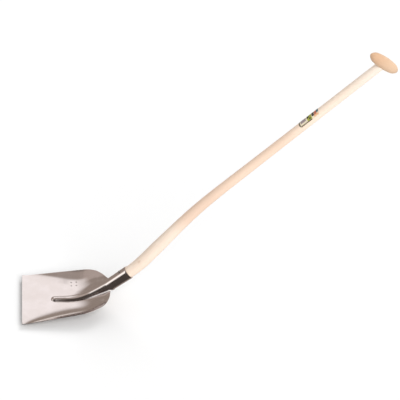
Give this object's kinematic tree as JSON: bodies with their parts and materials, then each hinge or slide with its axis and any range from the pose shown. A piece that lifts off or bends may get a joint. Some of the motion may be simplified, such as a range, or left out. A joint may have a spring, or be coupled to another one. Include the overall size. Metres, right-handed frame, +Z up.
{
  "type": "concrete shovel",
  "caption": "Square-mouthed shovel with a dished steel pan, pressed rib and socket, on a bent wooden handle with a turned cross grip.",
  "frame": {"origin": "on the flat sole's underside, in the middle of the width, 50 mm behind the front edge", "axes": "+Z up off the floor the sole lies on, +X from the front edge towards the handle, +Y to the shovel's left side seen from the handle's end"},
  "size_m": [1.2296, 0.2604, 1.0246],
  "materials": {
    "ground_steel": "pressed and ground bright steel, lightly clear-coated",
    "rivet_steel": "plain steel, satin",
    "handle_wood": "pale sanded hardwood, bare",
    "grip_wood": "warmer sanded hardwood, lightly waxed",
    "label_paper": "printed sticker, semi-gloss"
  },
  "bodies": {
    "root": {"blade": "ground_steel", "handle": "handle_wood", "t_grip": "grip_wood", "socket_rivet": "rivet_steel", "rivet_washer": "rivet_steel", "grip_nail": "rivet_steel", "label": "label_paper"}
  },
  "joints": []
}
